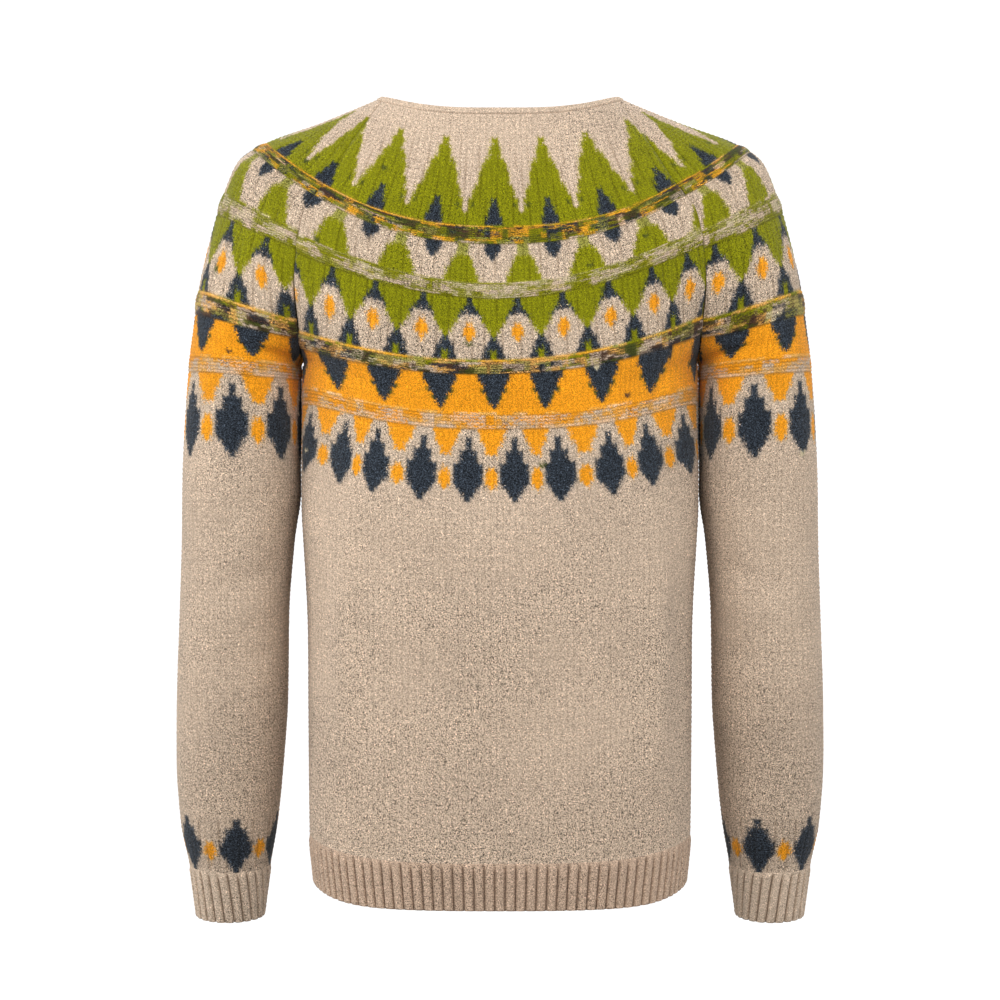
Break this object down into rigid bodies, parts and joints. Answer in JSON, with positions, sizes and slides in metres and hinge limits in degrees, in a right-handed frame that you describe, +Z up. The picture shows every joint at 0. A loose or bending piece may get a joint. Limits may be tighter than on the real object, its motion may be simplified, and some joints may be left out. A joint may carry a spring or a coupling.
{
  "type": "fair isle cardigan",
  "caption": "Worn-form raglan wool cardigan with a stranded patterned yoke, plain ribs and a buttoned front, hollow and open at neck, hem and cuffs.",
  "frame": {"origin": "centre of the neck opening at the height of the neck points, where the wearer's neck and shoulders hold the garment", "axes": "+Z up, -Y towards the wearer's front, +X towards the wearer's left"},
  "size_m": [0.5212, 0.2428, 0.6629],
  "materials": {
    "knit": "tweedy wool, stocking stitch with stranded bands",
    "rib": "tweedy wool, one by one rib",
    "button": "horn-like, satin"
  },
  "bodies": {
    "root": {"back": "knit", "front_left": "knit", "front_right": "knit", "sleeve_left": "knit", "sleeve_right": "knit", "hem_rib_back": "rib", "hem_rib_front_left": "rib", "hem_rib_front_right": "rib", "cuff_left": "rib", "cuff_right": "rib", "neckband": "rib", "button_band_left": "rib", "button_band_right": "rib", "button_1": "button", "button_2": "button", "button_3": "button", "button_4": "button", "button_5": "button", "button_6": "button", "button_7": "button"}
  },
  "joints": []
}
